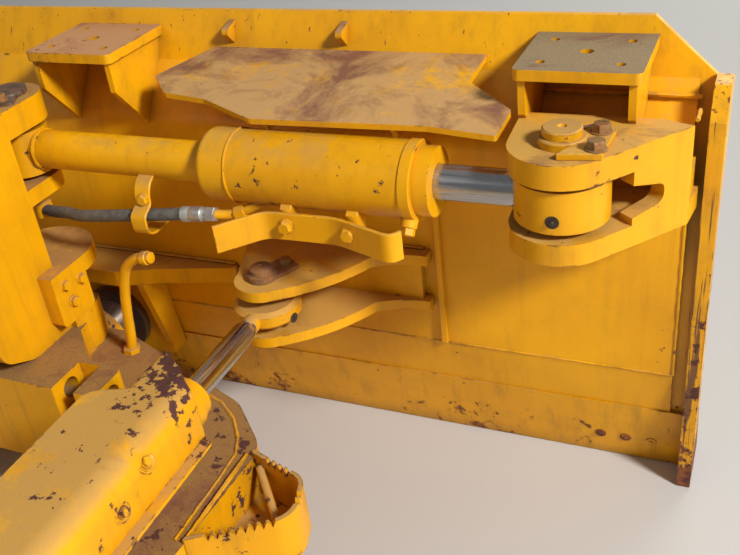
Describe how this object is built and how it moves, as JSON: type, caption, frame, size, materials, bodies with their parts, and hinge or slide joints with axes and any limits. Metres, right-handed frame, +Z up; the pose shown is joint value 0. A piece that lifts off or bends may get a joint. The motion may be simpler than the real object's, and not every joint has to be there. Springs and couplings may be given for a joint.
{
  "type": "six-way dozer blade assembly",
  "caption": "Dozer blade on a C-frame with a centre tower, a tilt cylinder and two covered angle cylinders, pivoting at the rear ends of its arms.",
  "frame": {"origin": "middle of the C-frame's rear pivot line, on the bore axis of both arms", "axes": "+X to the machine's right along the pivot line, +Y forward towards the blade, +Z up"},
  "size_m": [3.1, 2.24, 1.08],
  "materials": {
    "yellow_paint": "worn construction yellow",
    "chrome": "hard chrome rod, polished, dusty",
    "machined_steel": "machined, browned steel",
    "worn_edge": "hardened plate, paint worn at the foot"
  },
  "bodies": {
    "c_frame": {"cross_member": "yellow_paint", "socket_cap": "yellow_paint", "tower": "yellow_paint", "tower_pin": "machined_steel", "push_arm_left": "yellow_paint", "push_arm_right": "yellow_paint", "base_pin_left": "machined_steel", "base_pin_right": "machined_steel", "step_left": "yellow_paint", "step_right": "yellow_paint"},
    "swivel": {"ball_liner": "machined_steel", "tilt_bearing": "machined_steel"},
    "blade": {"mouldboard": "yellow_paint", "back_panel": "yellow_paint", "cutting_edge": "worn_edge", "end_bits": "worn_edge", "top_lugs": "yellow_paint", "rock_shield": "yellow_paint", "tilt_bracket": "yellow_paint", "tilt_pin": "machined_steel", "centre_bracket": "yellow_paint", "ball_stud": "machined_steel", "blade_ribs": "yellow_paint", "mast_pad_left": "yellow_paint", "mast_pad_centre": "yellow_paint", "mast_pad_right": "yellow_paint", "end_plate_left": "yellow_paint", "end_plate_right": "yellow_paint", "angle_bracket_left": "yellow_paint", "angle_bracket_right": "yellow_paint", "angle_pin_left": "machined_steel", "angle_pin_right": "machined_steel"},
    "tilt_cylinder": {"tilt_barrel": "yellow_paint", "tilt_gland": "machined_steel", "tilt_guard": "yellow_paint"},
    "tilt_piston": {"tilt_rod": "chrome"},
    "angle_cylinder_right": {"angle_barrel_right": "yellow_paint", "angle_gland_right": "machined_steel", "angle_cover_right": "yellow_paint"},
    "angle_cylinder_left": {"angle_barrel_left": "yellow_paint", "angle_gland_left": "machined_steel", "angle_cover_left": "yellow_paint"},
    "angle_piston_right": {"angle_rod_right": "chrome"},
    "angle_piston_left": {"angle_rod_left": "chrome"}
  },
  "joints": [
    {"name": "blade_angle", "type": "hinge", "parent": "c_frame", "child": "swivel", "pos_m": [0, 1.815, -0.178], "axis": [0, 0, 1], "range_deg": [-22, 22]},
    {"name": "blade_tilt", "type": "hinge", "parent": "swivel", "child": "blade", "pos_m": [0, 1.815, -0.178], "axis": [0, 1, 0], "range_deg": [-7, 7]},
    {"name": "tilt_swing", "type": "hinge", "parent": "swivel", "child": "tilt_cylinder", "pos_m": [0, 1.815, 0.407], "axis": [0, 1, 0], "range_deg": [-7.5, 7.5]},
    {"name": "tilt_stroke", "type": "slide", "parent": "tilt_cylinder", "child": "tilt_piston", "axis": [1, 0, 0], "range_m": [-0.075, 0.075]},
    {"name": "angle_swing_right", "type": "hinge", "parent": "c_frame", "child": "angle_cylinder_right", "pos_m": [0.604, 0.5, 0.058], "axis": [-0.4159, 0.8951, -0.1604], "range_deg": [-9, 9]},
    {"name": "angle_swing_left", "type": "hinge", "parent": "c_frame", "child": "angle_cylinder_left", "pos_m": [-0.604, 0.5, 0.058], "axis": [0.4159, 0.8951, -0.1604], "range_deg": [-9, 9]},
    {"name": "angle_stroke_right", "type": "slide", "parent": "angle_cylinder_right", "child": "angle_piston_right", "axis": [0, 1, 0], "range_m": [-0.235, 0.235]},
    {"name": "angle_stroke_left", "type": "slide", "parent": "angle_cylinder_left", "child": "angle_piston_left", "axis": [0, 1, 0], "range_m": [-0.235, 0.235]}
  ],
  "couplings": [
    {"joint": "tilt_swing", "follows": "blade_tilt", "ratio": 1},
    {"joint": "tilt_stroke", "follows": "blade_tilt", "m_per_rad": 0.585},
    {"joint": "angle_swing_right", "follows": "blade_tilt", "ratio": 1.2288},
    {"joint": "angle_swing_left", "follows": "blade_tilt", "ratio": 1.2288},
    {"joint": "angle_stroke_right", "follows": "blade_angle", "m_per_rad": 0.589},
    {"joint": "angle_stroke_left", "follows": "blade_angle", "m_per_rad": -0.589}
  ]
}
